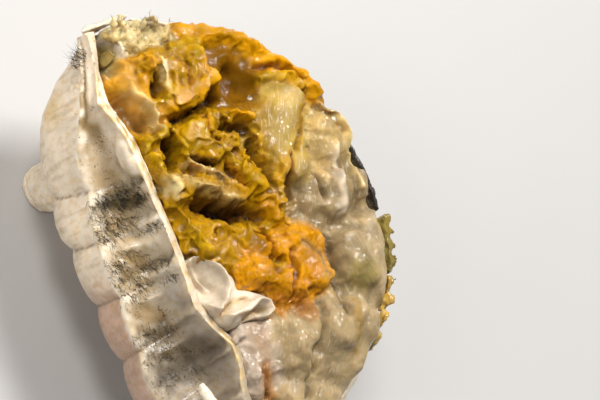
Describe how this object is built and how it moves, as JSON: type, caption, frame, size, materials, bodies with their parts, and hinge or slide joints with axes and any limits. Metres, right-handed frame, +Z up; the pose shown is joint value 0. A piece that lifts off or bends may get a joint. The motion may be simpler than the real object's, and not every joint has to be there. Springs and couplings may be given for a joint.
{
  "type": "opened cooked chinese mitten crab half body",
  "caption": "Half of a cooked mitten crab body, broken open along its middle, lying on its leg sockets with roe, liver and meat showing.",
  "frame": {"origin": "middle of the bounding box, on the surface that the leg sockets rest on", "axes": "+Z up out of the broken middle plane, +Y towards the mouth, -X towards the belly plates, +X towards the back"},
  "size_m": [0.0442, 0.0685, 0.0328],
  "materials": {
    "belly_shell": "satin cream shell with fine pits and brown stains",
    "back_shell": "thin satin cream shell",
    "leg_socket": "satin cream shell with meat in the broken ends",
    "inner_shell": "white inner shell",
    "liver": "wet golden yellow",
    "olive_sac": "wet olive brown",
    "roe": "grainy orange",
    "peach_membrane": "smooth peach membrane",
    "meat": "wet white fibres",
    "gill": "wet olive leaves",
    "dark_membrane": "thin dark membrane",
    "mouthparts": "horny beige with bristles"
  },
  "bodies": {
    "root": {"abdomen_stub": "leg_socket", "back_rear": "back_shell", "back_vault_1": "back_shell", "back_vault_2": "back_shell", "back_vault_3": "back_shell", "back_vault_4": "back_shell", "back_vault_5": "back_shell", "bile_sac": "olive_sac", "cheek_plate": "back_shell", "coxa_claw": "leg_socket", "coxa_leg_1": "leg_socket", "coxa_leg_2": "leg_socket", "coxa_leg_3": "leg_socket", "coxa_leg_4": "leg_socket", "dark_membrane": "dark_membrane", "endosternum": "inner_shell", "gill_leaf_1": "gill", "gill_leaf_2": "gill", "gill_leaf_3": "gill", "gill_leaf_4": "gill", "gill_tip_1": "gill", "gill_tip_2": "gill", "gill_tip_3": "gill", "gill_tip_4": "gill", "gill_tip_5": "gill", "liver_fold": "liver", "liver_front": "liver", "liver_low": "liver", "liver_middle": "liver", "liver_rim": "liver", "liver_side": "liver", "liver_strand": "liver", "maxilliped": "mouthparts", "mouth_base": "mouthparts", "mouth_frame": "inner_shell", "mouthparts": "mouthparts", "muscle_1": "meat", "muscle_2": "meat", "muscle_3": "meat", "muscle_4": "meat", "muscle_5": "meat", "muscle_6": "meat", "muscle_edge": "meat", "peach_pocket": "peach_membrane", "pleopod_stub": "inner_shell", "roe": "roe", "sternal_bridge": "inner_shell", "sternite_4": "belly_shell", "sternite_5": "belly_shell", "sternite_6": "belly_shell", "sternite_7": "belly_shell", "sternite_8": "belly_shell", "sternum_rear": "belly_shell", "sternum_tip": "belly_shell"}
  },
  "joints": []
}
